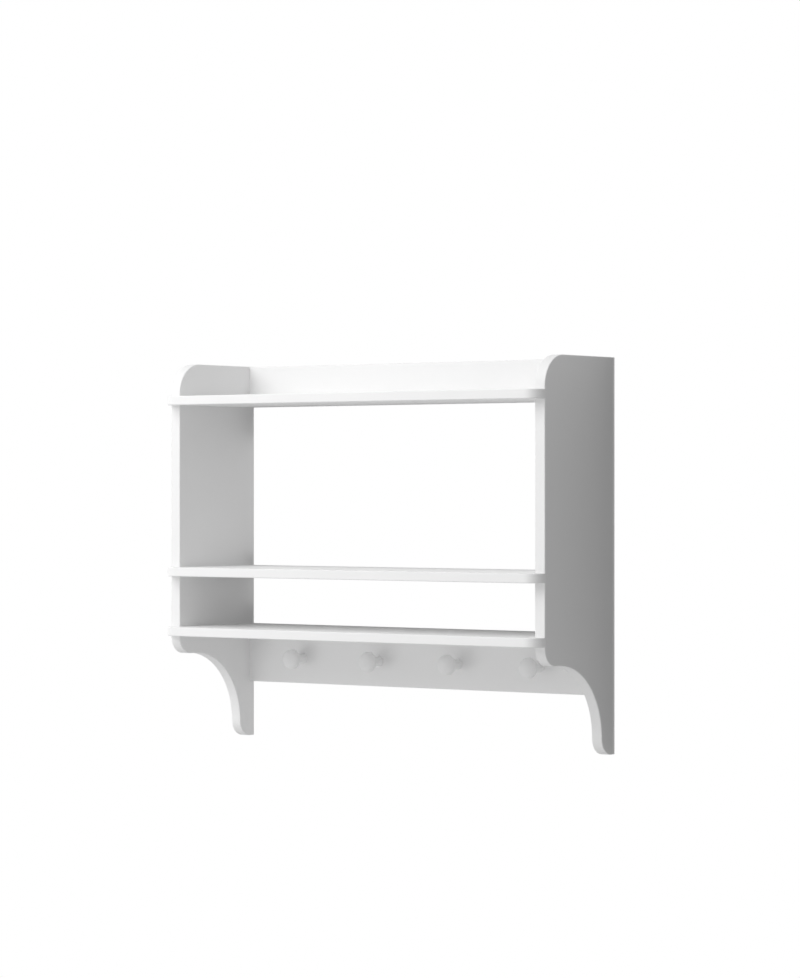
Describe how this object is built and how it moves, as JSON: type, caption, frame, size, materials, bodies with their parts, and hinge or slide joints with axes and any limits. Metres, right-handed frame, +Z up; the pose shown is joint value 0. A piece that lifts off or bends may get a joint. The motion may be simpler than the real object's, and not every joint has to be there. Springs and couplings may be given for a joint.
{
  "type": "wall shelf unit with peg rail",
  "caption": "White painted wall shelf unit: side panels with an ogee foot, shelves with a rounded nose that laps the panels, a back rail above and a rail of turned pegs below.",
  "frame": {"origin": "middle of the top rail's back face, which lies in the wall plane", "axes": "+X along the shelves to the right as seen from the room, +Y into the wall, +Z up"},
  "size_m": [0.75, 0.218, 0.625],
  "materials": {
    "board_lacquer": "satin white lacquer on fibreboard",
    "peg_lacquer": "satin white lacquer on turned beech",
    "dowel_beech": "bare beech",
    "screw_steel": "zinc plated",
    "hanger_steel": "zinc plated"
  },
  "bodies": {
    "root": {"side_panel_left": "board_lacquer", "side_panel_right": "board_lacquer", "top_shelf": "board_lacquer", "middle_shelf": "board_lacquer", "bottom_shelf": "board_lacquer", "top_rail": "board_lacquer", "peg_rail": "board_lacquer", "peg_1": "peg_lacquer", "peg_2": "peg_lacquer", "peg_3": "peg_lacquer", "peg_4": "peg_lacquer", "top_shelf_dowels": "dowel_beech", "middle_shelf_dowels": "dowel_beech", "bottom_shelf_dowels": "dowel_beech", "top_rail_dowels": "dowel_beech", "peg_rail_dowels": "dowel_beech", "peg_screws": "screw_steel", "hanger_plate_left": "hanger_steel", "hanger_plate_right": "hanger_steel", "hanger_screws": "screw_steel"}
  },
  "joints": []
}
